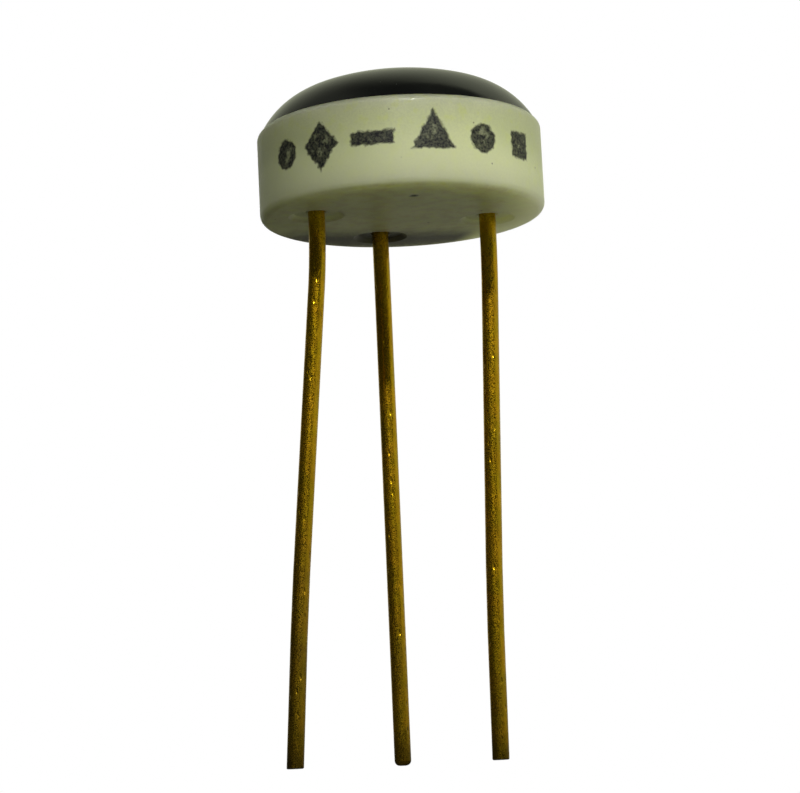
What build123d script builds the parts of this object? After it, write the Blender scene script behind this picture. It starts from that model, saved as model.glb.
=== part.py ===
from build123d import *
import os
from math import radians, sqrt, tan

# Three-lead transistor: a round ceramic header, a cast resin cap and three gold wire leads.
# Millimetres, +Z up, the origin at the centre of the header's underside.

# Ceramic header
header_diameter = 8.16
header_height = 2.55
header_top_chamfer = 0.12
header_bottom_round = 0.22
lead_circle = 5.08
lead_hole_clearance = 0.06
recess_diameter = 1.6
recess_depth = 0.12

# Resin cap, the top of a flat oval turned about the axis
cap_height = 1.59
oval_sink_share = 0.42
oval_shoulder_share = 0.88

# Wire leads
lead_diameter = 0.48
lead_length = 15.5
head_diameter = 1.05
head_height = 0.2
upper_knee_depth = 1.1
lower_knee_depth = 11.0
knee_reach = 0.9
emitter_knee_lean = 0.4
emitter_tip_lean = 0.47
base_tip_lean = 0.08
collector_knee_lean = 0.96
collector_tip_lean = 1.29
cut_chamfer = 0.04
worn_cut_chamfer = 0.1

# Metal film lands on the header's top face
land_height = 0.05
land_diameter = 1.5
die_pad_width = 1.2
land_bridge_width = 0.7

# Silicon die and its bond wires
die_width = 0.6
die_height = 0.2
contact_share = 0.27
bond_diameter = 0.06
bond_rise = 0.5
bond_drop = 0.12

# Places worked out from the sizes above
header_radius = header_diameter / 2
lead_radius = lead_diameter / 2
lead_offset = lead_circle / 2
hole_radius = lead_radius + lead_hole_clearance
land_top = header_height + land_height
head_top = land_top + head_height
die_top = land_top + die_height
contact_offset = contact_share * die_width
emitter_place = Vector(lead_offset, 0)
base_place = Vector(0, lead_offset)
collector_place = Vector(-lead_offset, 0)
lead_places = [emitter_place, base_place, collector_place]

os.makedirs("parts", exist_ok=True)


def write(builder, name):
    """Label a finished piece and write it under its name."""
    builder.part.label = name
    export_step(builder.part, f"parts/{name}.step")


def knee_radius(before, knee, after):
    """Bend radius that rounds a knee over the reach on each side of it."""
    turn = (Vector(*knee) - Vector(*before)).get_angle(Vector(*after) - Vector(*knee))
    return knee_reach / tan(radians(turn) / 2)


def make_lead(place, end_chamfer, *stations):
    """Headed wire down through the header, then by way of stations, each a lean toward -X and a depth."""
    points = [(place.X, land_top), (place.X, -upper_knee_depth)]
    points += [(place.X - lean, -depth) for lean, depth in stations]
    radii = [knee_radius(*points[i : i + 3]) for i in range(len(stations))]
    with BuildPart() as lead:
        with BuildSketch(Plane.XY.offset(land_top)):
            with Locations(place):
                Circle(head_diameter / 2)
        extrude(amount=head_height)
        with BuildLine(Plane.XZ.offset(-place.Y)):
            FilletPolyline(*points, radius=radii)
        with BuildSketch(Plane.XY.offset(land_top)):
            with Locations(place):
                Circle(lead_radius)
        sweep()
        chamfer(lead.edges().sort_by(Axis.Z)[0], end_chamfer)
    return lead


def make_ring_land(place):
    """Film ring that closes one lead hole round its lead."""
    with BuildPart() as land:
        with BuildSketch(Plane.XY.offset(header_height)):
            with Locations(place):
                Circle(land_diameter / 2)
                Circle(lead_radius, mode=Mode.SUBTRACT)
        extrude(amount=land_height)
    return land


def make_bond_wire(direction):
    """Fine wire kinked up from the die and sloping down to the head of the lead in this direction."""
    plane = Plane(origin=(0, 0, 0), x_dir=direction, z_dir=direction.cross(Vector(0, 0, 1)))
    points = [
        (contact_offset, die_top),
        (contact_offset, die_top + bond_rise),
        (lead_offset, head_top + bond_drop),
        (lead_offset, head_top),
    ]
    with BuildPart() as wire:
        with BuildLine(plane):
            Polyline(*points)
        with BuildSketch(Plane.XY.offset(die_top)):
            with Locations(direction * contact_offset):
                Circle(bond_diameter / 2)
        sweep(transition=Transition.RIGHT)
    return wire


# Ceramic header: a disc with rounded edges, three lead holes and a shallow recess round each
with BuildPart() as ceramic_header:
    with BuildSketch():
        Circle(header_radius)
    extrude(amount=header_height)
    chamfer(ceramic_header.edges().group_by(Axis.Z)[-1], header_top_chamfer)
    fillet(ceramic_header.edges().group_by(Axis.Z)[0], header_bottom_round)
    with BuildSketch():
        with Locations(*lead_places):
            Circle(recess_diameter / 2)
    extrude(amount=recess_depth, mode=Mode.SUBTRACT)
    with BuildSketch():
        with Locations(*lead_places):
            Circle(hole_radius)
    extrude(amount=header_height, mode=Mode.SUBTRACT)
write(ceramic_header, "ceramic_header")

# Leads: the emitter and collector on the X axis, the base between them on +Y
emitter_knee = (emitter_knee_lean, lower_knee_depth)
emitter_tip = (emitter_tip_lean, lead_length)
emitter_lead = make_lead(emitter_place, cut_chamfer, emitter_knee, emitter_tip)
write(emitter_lead, "emitter_lead")
base_tip = (base_tip_lean, lead_length)
base_lead = make_lead(base_place, worn_cut_chamfer, base_tip)
write(base_lead, "base_lead")
collector_knee = (collector_knee_lean, lower_knee_depth)
collector_tip = (collector_tip_lean, lead_length)
collector_lead = make_lead(collector_place, cut_chamfer, collector_knee, collector_tip)
write(collector_lead, "collector_lead")

# Lands: two film rings, and one ring with a bridge to the pad under the die
emitter_land = make_ring_land(emitter_place)
write(emitter_land, "emitter_land")
base_land = make_ring_land(base_place)
write(base_land, "base_land")
with BuildPart() as collector_land:
    with BuildSketch(Plane.XY.offset(header_height)):
        Rectangle(die_pad_width, die_pad_width)
        with Locations(collector_place):
            Circle(land_diameter / 2)
        with Locations(collector_place / 2):
            Rectangle(lead_offset, land_bridge_width)
        with Locations(collector_place):
            Circle(lead_radius, mode=Mode.SUBTRACT)
    extrude(amount=land_height)
write(collector_land, "collector_land")

# Silicon die on the collector land's pad
with BuildPart() as transistor_die:
    with BuildSketch(Plane.XY.offset(land_top)):
        Rectangle(die_width, die_width)
    extrude(amount=die_height)
write(transistor_die, "transistor_die")

# Bond wires from the die to the emitter and base leads
emitter_bond_wire = make_bond_wire(Vector(1, 0, 0))
write(emitter_bond_wire, "emitter_bond_wire")
base_bond_wire = make_bond_wire(Vector(0, 1, 0))
write(base_bond_wire, "base_bond_wire")

# Resin cap: cast over everything on the header's flat top.
# A crown arc runs from the axis into a tighter shoulder arc that meets the header's edge.
cap_radius = header_radius - header_top_chamfer
cap_top = header_height + cap_height
oval_rise = cap_height / (1 - oval_sink_share)
oval_drop = oval_rise - cap_height
shoulder_radius = oval_shoulder_share * oval_rise
shoulder_inset = sqrt(shoulder_radius**2 - oval_drop**2)
shoulder_centre = Vector(cap_radius - shoulder_inset, header_height - oval_drop)
crown_span = shoulder_centre.X**2 + oval_rise**2 - shoulder_radius**2
crown_radius = crown_span / (2 * (oval_rise - shoulder_radius))
crown_centre = Vector(0, cap_top - crown_radius)
blend = crown_centre + (shoulder_centre - crown_centre).normalized() * crown_radius
with BuildPart() as epoxy_cap:
    with BuildSketch(Plane.XZ):
        with BuildLine():
            crown = TangentArc((0, cap_top), blend, tangent=(1, 0))
            TangentArc(blend, (cap_radius, header_height), tangent=crown % 1)
            Polyline((cap_radius, header_height), (0, header_height), (0, cap_top))
        make_face()
    revolve(axis=Axis.Z)
    for inner in (
        emitter_land,
        base_land,
        collector_land,
        emitter_lead,
        base_lead,
        collector_lead,
        transistor_die,
        emitter_bond_wire,
        base_bond_wire,
    ):
        add(inner.part, mode=Mode.SUBTRACT)
write(epoxy_cap, "epoxy_cap")
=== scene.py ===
from math import acos, asin, cos, pi, radians, sin, sqrt

import bmesh
import bpy
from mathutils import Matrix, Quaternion, Vector


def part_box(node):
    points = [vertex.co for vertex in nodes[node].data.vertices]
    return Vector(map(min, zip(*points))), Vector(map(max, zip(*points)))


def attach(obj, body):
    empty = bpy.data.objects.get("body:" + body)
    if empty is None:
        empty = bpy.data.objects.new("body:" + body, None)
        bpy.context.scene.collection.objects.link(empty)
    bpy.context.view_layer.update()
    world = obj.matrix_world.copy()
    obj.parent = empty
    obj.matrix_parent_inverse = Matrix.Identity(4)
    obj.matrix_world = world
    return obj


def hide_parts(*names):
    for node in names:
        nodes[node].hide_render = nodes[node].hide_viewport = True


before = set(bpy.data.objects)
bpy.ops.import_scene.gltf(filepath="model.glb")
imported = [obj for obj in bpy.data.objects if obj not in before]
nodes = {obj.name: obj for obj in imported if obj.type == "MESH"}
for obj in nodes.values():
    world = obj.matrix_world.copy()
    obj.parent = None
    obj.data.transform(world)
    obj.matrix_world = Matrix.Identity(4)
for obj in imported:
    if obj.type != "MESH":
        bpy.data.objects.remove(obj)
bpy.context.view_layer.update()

# A small transistor: a white ceramic header, a black resin dome and three gold wire leads.
# Metres, +Z up, the origin at the centre of the header's underside.

MM = 0.001
NEAR = 0.002 * MM

# Header, with its radius and height read from the solid
header_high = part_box("ceramic_header")[1]
header_radius = header_high.x
header_height = header_high.z
header_sides = 160
header_crease = radians(30)
bottom_round = 0.22 * MM
bottom_rings = 10
top_chamfer = 0.12 * MM
edge_ease = 0.07 * MM
ease_rings = 4
recess_sides = 64
recess_radius = 0.8 * MM
recess_depth = 0.12 * MM
recess_lip = 0.16 * MM
hole_radius = 0.3 * MM
hole_lip = 0.02 * MM
pit_radius = 0.09 * MM
pit_fineness = 3
pit_stretch = (1.5, 0.9, 1.0)
pit_place = Vector((-0.4, -2.66, 0.02)) * MM
shine_place = Vector((-0.7, -3.99, 2.41)) * MM
ink_height = 1.36 * MM

# Dome, the top of a flat oval turned about the axis
dome_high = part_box("epoxy_cap")[1]
dome_radius = dome_high.x
dome_top = dome_high.z
dome_height = dome_top - header_height
oval_sink_share = 0.42
oval_shoulder_share = 0.88
dome_sides = 160
dome_crease = radians(40)
crown_steps = 14
shoulder_steps = 18

# Leads, each with its leans toward -X at the lower knee and at the tip
lead_radius = 0.24 * MM
lead_sides = 40
lead_crease = radians(35)
lead_offset = 2.54 * MM
lead_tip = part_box("base_lead")[0].z
head_radius = 0.525 * MM
head_height = 0.2 * MM
head_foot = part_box("base_land")[1].z
upper_knee = -1.1 * MM
lower_knee = -11.0 * MM
knee_reach = 0.9 * MM
knee_rings = 8
emitter_knee_lean = 0.4 * MM
emitter_tip_lean = 0.47 * MM
base_knee_lean = 0.055 * MM
base_tip_lean = 0.08 * MM
collector_knee_lean = 0.96 * MM
collector_tip_lean = 1.29 * MM
cut_round = 0.04 * MM
worn_cut_round = 0.15 * MM
cut_rings = 4
emitter_place = Vector((lead_offset, 0, 0))
base_place = Vector((0, lead_offset, 0))
collector_place = Vector((-lead_offset, 0, 0))
lead_places = [emitter_place, base_place, collector_place]

# Colours of the ceramic, its specks, its browner bottom, its painted light and shade, and its ink
cream = (0.62, 0.67, 0.35, 1)
pale_cream = (0.69, 0.73, 0.4, 1)
dull_cream = (0.5, 0.53, 0.32, 1)
green_cream = (0.63, 0.7, 0.16, 1)
low_light_cream = (0.83, 0.88, 0.52, 1)
painted_light_cream = (0.9, 0.93, 0.6, 1)
bottom_brown = (0.42, 0.33, 0.2, 1)
side_shade_green = (0.4, 0.43, 0.23, 1)
rear_shade_black = (0.05, 0.045, 0.03, 1)
pit_shade_black = (0.05, 0.045, 0.035, 1)
speck_brown = (0.1, 0.085, 0.06, 1)
ink_black = (0.009, 0.009, 0.01, 1)

# Colours of the resin and its dust
resin_black = (0.004, 0.0045, 0.004, 1)
resin_grey = (0.007, 0.008, 0.0065, 1)
dust_grey = (0.06, 0.06, 0.05, 1)

# Colours of the leads
plate_yellow = (0.52, 0.34, 0.007, 1)
plate_orange = (0.64, 0.36, 0.01, 1)
dimple_brown = (0.24, 0.135, 0.003, 1)
tarnish_brown = (0.13, 0.085, 0.012, 1)
singe_brown = (0.06, 0.045, 0.01, 1)
bare_metal = (0.3, 0.28, 0.25, 1)

# Colours of what lies under the dome, and half the width of the die's contact field
film_dark = (0.56, 0.42, 0.18, 1)
film_light = (0.7, 0.56, 0.28, 1)
silicon_dark = (0.09, 0.1, 0.13, 1)
silicon_light = (0.13, 0.14, 0.16, 1)
contact_grey = (0.32, 0.3, 0.34, 1)
contact_reach = 0.22 * MM
bond_dark = (0.74, 0.55, 0.2, 1)
bond_light = (0.86, 0.68, 0.3, 1)

# Camera: where it stands, as turns about the object, and where it looks
view_azimuth = radians(-15.54)
view_elevation = radians(-8.96)
view_distance = 73.75 * MM
view_aim = Vector((-0.317, 0.088, -5.175)) * MM
view_roll = radians(-2.81)
view_lens = 117
view_near = 0.001
view_far = 10.0

# Floor: for the light dim under the part and pale at its right, for the eye pale, and white far off
floor_height = -17 * MM
floor_span = 3.0
floor_cuts = 4
floor_dim_end = 4 * MM
floor_pale_start = 24 * MM
floor_white_start = 20 * MM
floor_white_end = 60 * MM
floor_dim = (0.1, 0.1, 0.09, 1)
floor_pale = (0.62, 0.62, 0.55, 1)
floor_seen = (0.88, 0.88, 0.87, 1)

# Lamps and room
key_azimuth = radians(-6)
key_elevation = radians(36)
key_distance = 0.5
key_size = 0.03
key_power = 1.38
fill_azimuth = view_azimuth + radians(46)
fill_elevation = radians(40)
fill_distance = 0.5
fill_size = 0.15
fill_power = 0.48
screen_azimuth = view_azimuth + radians(148)
edge_azimuth = view_azimuth + radians(200)
band_azimuth = view_azimuth + radians(140)
back_azimuth = view_azimuth + pi
left_azimuth = view_azimuth - pi / 2
room_dim = (0.03, 0.03, 0.028, 1)
room_left = (0.17, 0.175, 0.14, 1)
room_bright = (0.48, 0.505, 0.37, 1)
room_band = (0.64, 0.67, 0.53, 1)
room_back = (0.93, 0.96, 0.79, 1)
white = (1, 1, 1, 1)


# Steps of modelling


def pick_piece(piece):
    """Select one piece alone and make it the active one."""
    bpy.ops.object.select_all(action="DESELECT")
    piece.select_set(True)
    bpy.context.view_layer.objects.active = piece


def open_piece(piece):
    """Take one piece alone into edit mode, with nothing in it selected."""
    pick_piece(piece)
    bpy.ops.object.mode_set(mode="EDIT")
    bpy.ops.mesh.select_all(action="DESELECT")


def close_piece():
    """Leave edit mode."""
    bpy.ops.object.mode_set(mode="OBJECT")


def new_piece(name):
    """Name the primitive just added and settle its place into its mesh."""
    piece = bpy.context.active_object
    piece.name = name
    piece.data.name = name
    bpy.ops.object.transform_apply(location=True, rotation=True, scale=True)
    return piece


def pick_flat(piece, kind, height):
    """Select only the edges, or only the faces, that lie flat at this height."""
    bpy.ops.mesh.select_mode(type=kind)
    bpy.ops.mesh.select_all(action="DESELECT")
    mesh = bmesh.from_edit_mesh(piece.data)
    for member in mesh.edges if kind == "EDGE" else mesh.faces:
        member.select_set(all(abs(corner.co.z - height) < NEAR for corner in member.verts))
    bmesh.update_edit_mesh(piece.data)


def extrude_by(step):
    """Extrude what is selected and move the new part by a step."""
    bpy.ops.mesh.extrude_region_move(TRANSFORM_OT_translate={"value": tuple(step)})


def smooth_piece(piece, angle):
    """Shade a piece smooth, with edges sharper than the angle left crisp."""
    pick_piece(piece)
    bpy.ops.object.shade_smooth_by_angle(angle=angle)


def settle(piece, node):
    """Let a finished piece stand for a node of the part: hang it on the root and hide the node."""
    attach(piece, "root")
    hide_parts(node)


def cut(piece, cutters):
    """Cut each cutter out of a piece and throw the cutter away."""
    for cutter in cutters:
        trim = piece.modifiers.new("trim", "BOOLEAN")
        trim.operation = "DIFFERENCE"
        trim.solver = "EXACT"
        trim.object = cutter
        pick_piece(piece)
        bpy.ops.object.modifier_apply(modifier=trim.name)
        bpy.data.objects.remove(cutter)


# Pieces


def lead_cutter(place):
    """A stepped plug that cuts one dished recess and the lead hole above it."""
    bpy.ops.object.select_all(action="DESELECT")
    bpy.ops.mesh.primitive_cylinder_add(
        vertices=recess_sides,
        radius=recess_radius,
        depth=recess_depth,
        location=place - Vector((0, 0, recess_depth / 2)),
    )
    cutter = new_piece("lead_cutter")
    open_piece(cutter)
    pick_flat(cutter, "FACE", 0)
    extrude_by((0, 0, recess_depth))
    floor_share = (recess_radius - recess_lip) / recess_radius
    bpy.ops.transform.resize(value=(floor_share, floor_share, 1), center_override=place)
    bpy.ops.mesh.inset(thickness=recess_radius - recess_lip - hole_radius - hole_lip)
    bpy.ops.mesh.inset(thickness=hole_lip)
    extrude_by((0, 0, header_height))
    close_piece()
    return cutter


def pit_cutter():
    """A small blunt lump that cuts one pit in the underside."""
    bpy.ops.object.select_all(action="DESELECT")
    bpy.ops.mesh.primitive_ico_sphere_add(
        subdivisions=pit_fineness, radius=pit_radius, location=pit_place
    )
    cutter = new_piece("pit_cutter")
    open_piece(cutter)
    bpy.ops.mesh.select_all(action="SELECT")
    bpy.ops.transform.resize(value=pit_stretch, center_override=pit_place)
    close_piece()
    return cutter


def model_header():
    """The ceramic disc with its rounded rims, three recessed lead holes and one pit."""
    bpy.ops.object.select_all(action="DESELECT")
    bpy.ops.mesh.primitive_cylinder_add(
        vertices=header_sides,
        radius=header_radius,
        depth=header_height,
        location=(0, 0, header_height / 2),
    )
    header = new_piece("header_body")
    open_piece(header)
    pick_flat(header, "EDGE", 0)
    bpy.ops.mesh.bevel(offset=bottom_round, segments=bottom_rings)
    pick_flat(header, "EDGE", header_height)
    bpy.ops.mesh.bevel(offset=top_chamfer, segments=1)
    pick_flat(header, "EDGE", header_height - top_chamfer)
    bpy.ops.mesh.bevel(offset=edge_ease, segments=ease_rings)
    close_piece()
    cut(header, [lead_cutter(place) for place in lead_places] + [pit_cutter()])
    smooth_piece(header, header_crease)
    settle(header, "ceramic_header")
    return header


def model_dome():
    """The resin dome: a crown arc run into a tighter shoulder arc, spun about the axis."""
    oval_rise = dome_height / (1 - oval_sink_share)
    oval_drop = oval_rise - dome_height
    shoulder_radius = oval_shoulder_share * oval_rise
    shoulder_out = dome_radius - sqrt(shoulder_radius**2 - oval_drop**2)
    shoulder_up = header_height - oval_drop
    crown_span = shoulder_out**2 + oval_rise**2 - shoulder_radius**2
    crown_radius = crown_span / (2 * (oval_rise - shoulder_radius))
    crown_up = dome_top - crown_radius
    blend_angle = asin(shoulder_out / (crown_radius - shoulder_radius))
    rim_angle = acos(oval_drop / shoulder_radius)

    def crown_point(share):
        turn = blend_angle * share
        return Vector((crown_radius * sin(turn), 0, crown_up + crown_radius * cos(turn)))

    def shoulder_point(share):
        turn = blend_angle + (rim_angle - blend_angle) * share
        out = shoulder_out + shoulder_radius * sin(turn)
        return Vector((out, 0, shoulder_up + shoulder_radius * cos(turn)))

    profile = [crown_point(step / crown_steps) for step in range(crown_steps)]
    profile += [shoulder_point(step / shoulder_steps) for step in range(shoulder_steps + 1)]
    profile.append(Vector((0, 0, header_height)))
    bpy.ops.object.select_all(action="DESELECT")
    bpy.ops.mesh.primitive_plane_add(size=dome_height, location=profile[0])
    dome = new_piece("resin_dome")
    open_piece(dome)
    bpy.ops.mesh.select_mode(type="VERT")
    bpy.ops.mesh.select_all(action="SELECT")
    bpy.ops.mesh.merge(type="CENTER")
    for here, there in zip(profile, profile[1:]):
        extrude_by(there - here)
    bpy.ops.mesh.select_all(action="SELECT")
    bpy.ops.mesh.spin(steps=dome_sides, angle=2 * pi, center=(0, 0, 0), axis=(0, 0, 1))
    bpy.ops.mesh.select_all(action="SELECT")
    bpy.ops.mesh.remove_doubles(threshold=NEAR / 10)
    bpy.ops.mesh.normals_make_consistent(inside=False)
    close_piece()
    smooth_piece(dome, dome_crease)
    settle(dome, "epoxy_cap")
    return dome


def model_lead(name, place, knee_lean, tip_lean, end_round):
    """A headed wire that leans toward -X by two gentle knees and ends in a cut tip."""
    foot = place + Vector((0, 0, head_foot))
    bpy.ops.object.select_all(action="DESELECT")
    bpy.ops.mesh.primitive_circle_add(
        vertices=lead_sides, radius=lead_radius, fill_type="NGON", location=foot
    )
    lead = new_piece(name)
    open_piece(lead)
    pick_flat(lead, "FACE", head_foot)
    extrude_by((0, 0, upper_knee - head_foot))
    extrude_by((-knee_lean, 0, lower_knee - upper_knee))
    extrude_by((knee_lean - tip_lean, 0, lead_tip - lower_knee))
    for knee in (upper_knee, lower_knee):
        pick_flat(lead, "EDGE", knee)
        bpy.ops.mesh.bevel(offset=knee_reach, segments=knee_rings)
    pick_flat(lead, "EDGE", lead_tip)
    bpy.ops.mesh.bevel(offset=end_round, segments=cut_rings)
    pick_flat(lead, "FACE", head_foot)
    bpy.ops.mesh.delete(type="ONLY_FACE")
    pick_flat(lead, "EDGE", head_foot)
    bpy.ops.mesh.extrude_edges_move()
    head_share = head_radius / lead_radius
    bpy.ops.transform.resize(value=(head_share, head_share, 1), center_override=foot)
    bpy.ops.mesh.extrude_edges_move(TRANSFORM_OT_translate={"value": (0, 0, head_height)})
    bpy.ops.mesh.edge_face_add()
    bpy.ops.mesh.select_all(action="SELECT")
    bpy.ops.mesh.normals_make_consistent(inside=False)
    close_piece()
    smooth_piece(lead, lead_crease)
    settle(lead, name.replace("wire", "lead"))
    return lead


header = model_header()
dome = model_dome()
wires = [
    model_lead("emitter_wire", emitter_place, emitter_knee_lean, emitter_tip_lean, cut_round),
    model_lead("base_wire", base_place, base_knee_lean, base_tip_lean, worn_cut_round),
    model_lead("collector_wire", collector_place, collector_knee_lean, collector_tip_lean, cut_round),
]


# Finishes, with their patterns laid out in millimetres


class Socket:
    """A node's output. Python's operators on it add Math nodes."""

    def __init__(self, finish, output):
        self.finish = finish
        self.output = output

    def math(self, operation, *numbers):
        """A Math node on these numbers."""
        return self.finish.node("ShaderNodeMath", {"operation": operation}, dict(enumerate(numbers)))

    def __add__(self, other):
        return self.math("ADD", self, other)

    __radd__ = __add__

    def __sub__(self, other):
        return self.math("SUBTRACT", self, other)

    def __rsub__(self, other):
        return self.math("SUBTRACT", other, self)

    def __mul__(self, other):
        return self.math("MULTIPLY", self, other)

    __rmul__ = __mul__

    def __abs__(self):
        return self.math("ABSOLUTE", self)

    def __neg__(self):
        return self.math("MULTIPLY", self, -1)

    def largest(self, other):
        return self.math("MAXIMUM", self, other)

    def smallest(self, other):
        return self.math("MINIMUM", self, other)

    def fade(self, start, end):
        """0 at the start value, 1 at the end value and smooth between them."""
        return self.finish.node(
            "ShaderNodeMapRange",
            {"interpolation_type": "SMOOTHSTEP"},
            {"Value": self, "From Min": start, "From Max": end},
        )


class Finish:
    """A node tree that is grown one node at a time."""

    def __init__(self, tree):
        self.tree = tree
        tree.nodes.clear()

    def node(self, kind, settings=None, inputs=None, output=0):
        """Add a node with its settings and the values or links of its sockets."""
        made = self.tree.nodes.new(kind)
        for name, value in (settings or {}).items():
            setattr(made, name, value)
        for name, value in (inputs or {}).items():
            if isinstance(value, Socket):
                self.tree.links.new(value.output, made.inputs[name])
            else:
                made.inputs[name].default_value = value
        return Socket(self, made.outputs[output] if made.outputs else None)

    def place(self, turn=0.0, stretch=(1, 1, 1)):
        """Object coordinates in millimetres, turned about the axis and stretched."""
        point = self.node("ShaderNodeTexCoord", output="Object")
        size = tuple(share / MM for share in stretch)
        sockets = {"Vector": point, "Rotation": (0, 0, turn), "Scale": size}
        return self.node("ShaderNodeMapping", {}, sockets)

    def parts(self, point):
        """The three numbers of a point."""
        split = self.node("ShaderNodeSeparateXYZ", {}, {"Vector": point})
        return [Socket(self, output) for output in split.output.node.outputs]

    def measure(self, operation, *points):
        """The number that a Vector Math node gives for these points."""
        settings = {"operation": operation}
        return self.node("ShaderNodeVectorMath", settings, dict(enumerate(points)), "Value")

    def noise(self, point, scale, detail=2.0, roughness=0.5):
        """Cloudy numbers around a half."""
        sockets = {"Vector": point, "Scale": scale, "Detail": detail, "Roughness": roughness}
        return self.node("ShaderNodeTexNoise", {}, sockets)

    def cells(self, point, scale):
        """Distance from scattered points."""
        return self.node("ShaderNodeTexVoronoi", {}, {"Vector": point, "Scale": scale}, "Distance")

    def mix(self, share, colour, other):
        """From one colour to the other as the share goes from 0 to 1."""
        # A Mix node's names repeat for each kind of data, so its colour sockets go by number.
        return self.node("ShaderNodeMix", {"data_type": "RGBA"}, {0: share, 6: colour, 7: other}, 2)

    def bump(self, height, distance, strength):
        """A surface raised by a height, as far as a distance in metres."""
        sockets = {"Height": height, "Distance": distance, "Strength": strength}
        return self.node("ShaderNodeBump", {}, sockets)

    def surface(self, **inputs):
        """The finished shader, on the tree's output."""
        named = {name.replace("_", " "): value for name, value in inputs.items()}
        shader = self.node("ShaderNodeBsdfPrincipled", {}, named)
        self.node("ShaderNodeOutputMaterial", {}, {"Surface": shader})


def new_material(name):
    """An empty material and the finish that grows in it."""
    material = bpy.data.materials.new(name)
    material.use_nodes = True
    return material, Finish(material.node_tree)


def coat(pieces, material):
    """Give each piece one material all over."""
    for piece in pieces:
        piece.data.materials.clear()
        piece.data.materials.append(material)


def ink_marks(finish):
    """How much stamped ink lies on the header's wall: a row of plain filled shapes, worn through."""
    across, depth, height = finish.parts(finish.place(turn=-view_azimuth))
    along = across.math("ARCTAN2", across, -depth) * (header_radius / MM)
    rise = height - ink_height / MM

    def disc(at, radius):
        run = along - at
        square = run * run + rise * rise
        return square.math("SQRT", square) - radius

    def block(at, half_width, half_height):
        return (abs(along - at) - half_width).largest(abs(rise) - half_height)

    def diamond(at, radius):
        return abs(along - at) * 0.8 + abs(rise) * 0.6 - radius

    def triangle(at, radius):
        return (abs(along - at) * 0.866 + rise * 0.5).largest(-rise) - radius / 2

    shapes = [
        disc(at=-3.6, radius=0.42),
        diamond(at=-2.3, radius=0.44),
        block(at=-0.75, half_width=0.62, half_height=0.2),
        triangle(at=0.95, radius=0.74),
        disc(at=2.45, radius=0.42),
        block(at=3.9, half_width=0.38, half_height=0.38),
    ]
    edge = shapes[0]
    for shape in shapes[1:]:
        edge = edge.smallest(shape)
    point = finish.place()
    ragged = edge + (finish.noise(point, 7.0, 3.0) - 0.5) * 0.22
    inside = ragged.fade(0.04, -0.05)
    core = ragged.fade(-0.02, -0.28)
    bare = finish.noise(point, 3.2, 4.0, 0.65).fade(0.5, 0.72) * core
    grain = finish.noise(point, 14.0, 2.0).fade(0.35, 0.65)
    return inside * (1 - bare * 0.5) * (0.88 + grain * 0.12)


def ceramic_finish():
    """Cream ceramic, mottled, specked and browner low down, with painted shade and light, worn ink and
    a polished spot on its rim.
    """
    material, finish = new_material("cream_ceramic")
    point = finish.place()
    across, depth, height = finish.parts(point)
    cloud = finish.noise(point, 0.7, 3.0)
    patch = finish.noise(point, 2.4, 3.0)
    grain = finish.noise(point, 16.0, 2.0)
    colour = finish.mix(cloud.fade(0.35, 0.68), cream, pale_cream)
    colour = finish.mix(grain.fade(0.3, 0.75) * 0.35, colour, dull_cream)
    tinge = finish.noise(point, 3.4, 3.0)
    colour = finish.mix(tinge.fade(0.5, 0.68) * 0.35, colour, green_cream)
    # Painted light: the lower wall is made paler, fading out toward its right end.
    painted_low_light = height.fade(2.2, 0.7) * height.fade(0.02, 0.12) * across.fade(4.6, 1.6)
    colour = finish.mix(painted_low_light * 0.65, colour, low_light_cream)
    # Browner and darker at the bottom, more so in patches.
    low_browning = height.fade(0.12, 0.0) * (0.15 + patch.fade(0.4, 0.7) * 0.25)
    colour = finish.mix(low_browning, colour, bottom_brown)
    # Painted shade: both ends of the wall, high up and at the left also lower down, are darkened to
    # green-grey.
    high_or_left = height.fade(0.6, 1.8).largest(across.fade(-0.4, -1.6) * 0.5)
    painted_side_shade = abs(across).fade(1.0, 3.4) * high_or_left
    colour = finish.mix(painted_side_shade * 0.5, colour, side_shade_green)
    # Painted light: the right end of the underside and its bottom rim is made paler.
    painted_right_light = across.fade(1.8, 3.8) * height.fade(0.2, 0.08)
    colour = finish.mix(painted_right_light * 0.8, colour, painted_light_cream)
    # Painted shade: the rear of the underside and bottom rim, and the recess round the base lead, are
    # darkened nearly to black.
    far = depth + across * 0.12 + (patch - 0.5) * 0.4
    rear = far.fade(1.1, 2.8) * across.fade(2.9, 2.3)
    nook = finish.measure("DISTANCE", point, base_place / MM).fade(1.0, 0.85)
    painted_rear_shade = rear * height.fade(0.14, 0.04).largest(nook)
    colour = finish.mix(painted_rear_shade * 0.97, colour, rear_shade_black)
    # Painted shade: the pit and a small ring round it are darkened nearly to black.
    pit = finish.measure("DISTANCE", point, pit_place / MM).fade(0.17, 0.09)
    colour = finish.mix(pit * 0.85, colour, pit_shade_black)
    spot = finish.cells(point, 2.1)
    speck = spot.fade(0.085, 0.04) * finish.noise(point, 1.3).fade(0.46, 0.6)
    colour = finish.mix(speck * 0.75, colour, speck_brown)
    ink = ink_marks(finish)
    colour = finish.mix(ink, colour, ink_black)
    rim = header_height / MM
    shine = finish.measure("DISTANCE", point, shine_place / MM).fade(0.09, 0.03)
    polish = height.fade(rim - 0.22, rim - 0.18) * (0.2 + shine * 0.8)
    relief = (grain * 0.5 + patch * 0.5) * (1 - polish * 0.6) + ink * 0.4 - speck
    finish.surface(
        Base_Color=colour,
        Roughness=0.36 + grain * 0.16 + ink * 0.12 - polish * 0.34,
        Normal=finish.bump(relief, 0.012 * MM, 0.7),
        Specular_IOR_Level=0.3,
        Subsurface_Weight=1.0,
        Subsurface_Radius=(1.0, 1.0, 0.8),
        Subsurface_Scale=2.5 * MM,
    )
    return material


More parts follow.
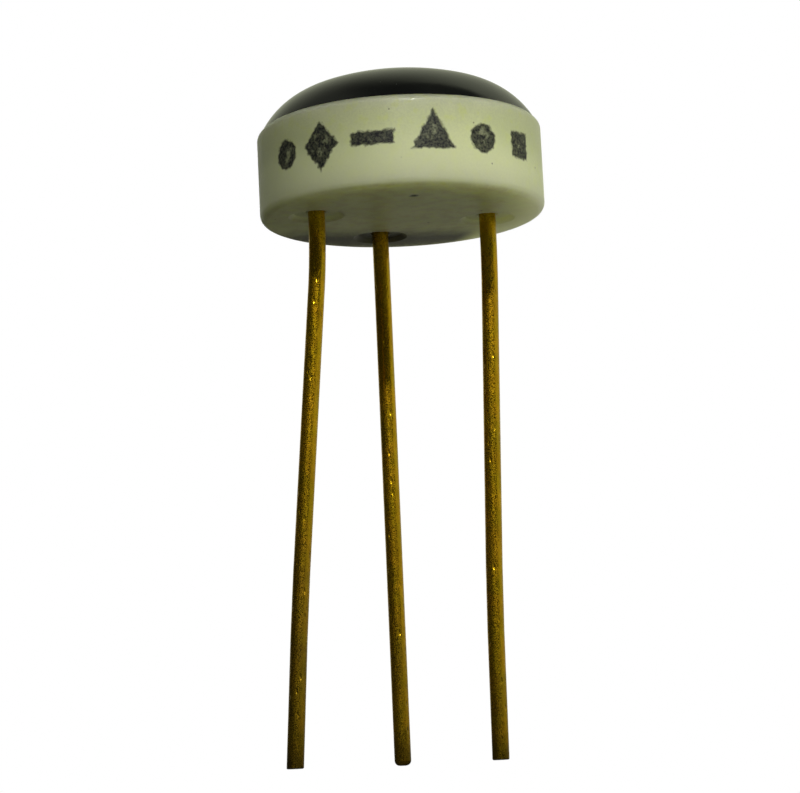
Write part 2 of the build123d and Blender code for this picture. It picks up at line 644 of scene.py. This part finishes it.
def resin_finish():
    """Glossy black resin with faint dust, hairline scratches and a slightly uneven skin."""
    material, finish = new_material("black_resin")
    point = finish.place()
    swell = finish.noise(point, 0.45, 2.0)
    skin = finish.noise(point, 9.0, 3.0)
    scratch_line = finish.noise(finish.place(turn=0.6, stretch=(14, 0.5, 0.5)), 1.0, 2.0)
    scratch = scratch_line.fade(0.66, 0.72) * finish.noise(point, 0.8).fade(0.5, 0.65)
    dust = finish.cells(point, 3.4).fade(0.07, 0.03) * finish.noise(point, 1.1).fade(0.5, 0.62)
    colour = finish.mix(swell.fade(0.35, 0.7), resin_black, resin_grey)
    colour = finish.mix(dust * 0.3, colour, dust_grey)
    finish.surface(
        Base_Color=colour,
        Roughness=0.1 + skin * 0.08 + scratch * 0.12 + dust * 0.3,
        Normal=finish.bump(swell * 0.8 + skin * 0.06 - scratch * 0.05, 0.05 * MM, 0.5),
        IOR=1.55,
    )
    return material


def wire_finish():
    """Gold-plated wire with a dimpled skin, brown low down, dark near the cut and bare metal at it."""
    material, finish = new_material("gold_wire")
    across, _, height = finish.parts(finish.place())
    drawn = finish.noise(finish.place(stretch=(1, 1, 0.06)), 12.0, 3.0)
    pebble = finish.noise(finish.place(stretch=(1, 1, 0.38)), 5.5, 2.0, 0.55)
    blotch = finish.noise(finish.place(stretch=(1, 1, 0.4)), 1.3, 4.0, 0.6)
    hue = finish.noise(finish.place(stretch=(1, 1, 0.6)), 3.0, 3.0)
    scuff = finish.noise(finish.place(stretch=(1, 1, 0.6)), 60.0, 2.0).fade(0.44, 0.6)
    nick = finish.cells(finish.place(stretch=(1, 1, 0.38)), 5.0).fade(0.24, 0.0)
    low = height.fade(-4.5, -14.0) * (0.32 + across.fade(-1.0, -2.4) * 0.3)
    tarnish = (blotch.fade(0.36, 0.66) * 0.22 + low) * (0.75 + pebble.fade(0.3, 0.7) * 0.35)
    colour = finish.mix(hue.fade(0.32, 0.68), plate_yellow, plate_orange)
    colour = finish.mix(pebble.fade(0.55, 0.3) * 0.35, colour, dimple_brown)
    colour = finish.mix(tarnish, colour, tarnish_brown)
    tip = lead_tip / MM
    singe = height.fade(tip + 1.1, tip + 0.1) * (0.35 + blotch.fade(0.4, 0.6) * 0.3)
    colour = finish.mix(singe, colour, singe_brown)
    bare = height.fade(tip + 0.03, tip + 0.01)
    colour = finish.mix(bare * 0.8, colour, bare_metal)
    finish.surface(
        Base_Color=colour,
        Metallic=1.0,
        Roughness=0.18 + scuff * 0.42 + tarnish * 0.06,
        Normal=finish.bump(drawn * 0.25 + pebble * 0.7 - nick * 0.8, 0.04 * MM, 0.8),
    )
    return material


def film_finish():
    """Fired metal film with a fine sandy grain."""
    material, finish = new_material("metal_film")
    grain = finish.noise(finish.place(), 22.0, 3.0)
    colour = finish.mix(grain.fade(0.3, 0.7), film_dark, film_light)
    finish.surface(
        Base_Color=colour,
        Metallic=1.0,
        Roughness=0.4 + grain * 0.25,
        Normal=finish.bump(grain, 0.01 * MM, 0.6),
    )
    return material


def silicon_finish():
    """Polished grey silicon with a paler contact field in the middle."""
    material, finish = new_material("grey_silicon")
    point = finish.place()
    tone = finish.noise(point, 6.0, 2.0)
    across, depth, _ = finish.parts(point)
    field = (abs(across).largest(abs(depth)) - contact_reach / MM).fade(0.01, -0.01)
    colour = finish.mix(tone.fade(0.3, 0.7), silicon_dark, silicon_light)
    colour = finish.mix(field * 0.5, colour, contact_grey)
    finish.surface(Base_Color=colour, Metallic=0.6, Roughness=0.14 + tone * 0.08)
    return material


def bond_finish():
    """Fine bright gold wire with faint lines."""
    material, finish = new_material("bond_gold")
    line = finish.noise(finish.place(stretch=(1, 1, 0.2)), 30.0, 2.0)
    colour = finish.mix(line.fade(0.3, 0.7), bond_dark, bond_light)
    finish.surface(Base_Color=colour, Metallic=1.0, Roughness=0.2 + line * 0.12)
    return material


coat([header], ceramic_finish())
coat([dome], resin_finish())
coat(wires, wire_finish())
coat([nodes["emitter_land"], nodes["base_land"], nodes["collector_land"]], film_finish())
coat([nodes["transistor_die"]], silicon_finish())
coat([nodes["emitter_bond_wire"], nodes["base_bond_wire"]], bond_finish())


# Floor, room, lamps and camera


def bearing(azimuth, elevation=0.0):
    """The direction at an azimuth, counted from -Y toward +X, and an elevation."""
    level = cos(elevation)
    return Vector((sin(azimuth) * level, -cos(azimuth) * level, sin(elevation)))


def stand(name, data, place, back):
    """Put a lamp or a camera at a place, with its back turned this way."""
    stander = bpy.data.objects.new(name, data)
    stander.location = place
    stander.rotation_mode = "QUATERNION"
    stander.rotation_quaternion = (-back).to_track_quat("-Z", "Y")
    bpy.context.scene.collection.objects.link(stander)
    return stander


def lay_floor():
    """A plain floor that takes the shadow, throws light back up from the right and is white far off."""
    bpy.ops.object.select_all(action="DESELECT")
    bpy.ops.mesh.primitive_plane_add(size=floor_span, location=(0, 0, floor_height))
    floor = new_piece("floor")
    open_piece(floor)
    bpy.ops.mesh.select_all(action="SELECT")
    bpy.ops.mesh.subdivide(number_cuts=floor_cuts)
    close_piece()
    material, finish = new_material("pale_floor")
    eye = finish.node("ShaderNodeLightPath", output="Is Camera Ray")
    point = finish.place()
    away = finish.measure("LENGTH", point)
    side = finish.parts(point)[0].fade(floor_dim_end / MM, floor_pale_start / MM)
    bounce = finish.mix(side, floor_dim, floor_pale)
    paint = finish.node("ShaderNodeBsdfDiffuse", {}, {"Color": finish.mix(eye, bounce, floor_seen)})
    glow = finish.node("ShaderNodeEmission", {}, {"Color": white, "Strength": 1.0})
    share = away.fade(floor_white_start / MM, floor_white_end / MM) * eye
    shader = finish.node("ShaderNodeMixShader", {}, {0: share, 1: paint, 2: glow})
    finish.node("ShaderNodeOutputMaterial", {}, {"Surface": shader})
    coat([floor], material)


def light_room():
    """White to the eye, bright behind the part and to its right, dim in front, overhead and below.

    It is faintly bright high at the left, and shiny faces see white straight behind the part.
    """
    world = bpy.data.worlds.new("room")
    world.use_nodes = True
    bpy.context.scene.world = world
    finish = Finish(world.node_tree)
    eye = finish.node("ShaderNodeLightPath", output="Is Camera Ray")
    gloss = finish.node("ShaderNodeLightPath", output="Is Glossy Ray")
    glass = finish.node("ShaderNodeLightPath", output="Is Transmission Ray")
    away = finish.node("ShaderNodeTexCoord", output="Generated")
    rise = finish.parts(away)[2]

    def toward(azimuth):
        return finish.measure("DOT_PRODUCT", away, bearing(azimuth))

    screen = toward(screen_azimuth).fade(-0.12, 0.6) * rise.fade(-0.35, 0.02)
    screen = screen * toward(edge_azimuth).fade(-0.03, 0.12).largest(rise.fade(0.8, 0.6))
    band = toward(band_azimuth).fade(-0.1, 0.45) * rise.fade(-0.1, 0.02) * rise.fade(0.34, 0.22)
    behind = toward(back_azimuth).fade(0.85, 0.99)
    left = toward(left_azimuth).fade(0.15, 0.5) * rise.fade(0.45, 0.75)
    room = finish.mix(left, room_dim, room_left)
    room = finish.mix(screen, room, room_bright)
    room = finish.mix(band, room, finish.mix(behind, room_band, room_back))
    mirrored = gloss.largest(glass) * band * behind
    colour = finish.mix(eye.largest(mirrored), room, white)
    shader = finish.node("ShaderNodeBackground", {}, {"Color": colour, "Strength": 1.0})
    finish.node("ShaderNodeOutputWorld", {}, {"Surface": shader})


def hang_lamp(name, azimuth, elevation, distance, size, power):
    """A square lamp that faces the part."""
    light = bpy.data.lights.new(name, "AREA")
    light.size = size
    light.energy = power
    back = bearing(azimuth, elevation)
    stand(name, light, back * distance, back)


def stand_camera():
    """The photograph's view."""
    lens = bpy.data.cameras.new("camera")
    lens.lens = view_lens
    lens.clip_start = view_near
    lens.clip_end = view_far
    back = bearing(view_azimuth, view_elevation)
    camera = stand("camera", lens, view_aim + back * view_distance, back)
    camera.rotation_quaternion = camera.rotation_quaternion @ Quaternion((0, 0, 1), view_roll)
    bpy.context.scene.camera = camera


lay_floor()
light_room()
hang_lamp("key", key_azimuth, key_elevation, key_distance, key_size, key_power)
hang_lamp("fill", fill_azimuth, fill_elevation, fill_distance, fill_size, fill_power)
stand_camera()
bpy.context.scene.view_settings.view_transform = "Standard"
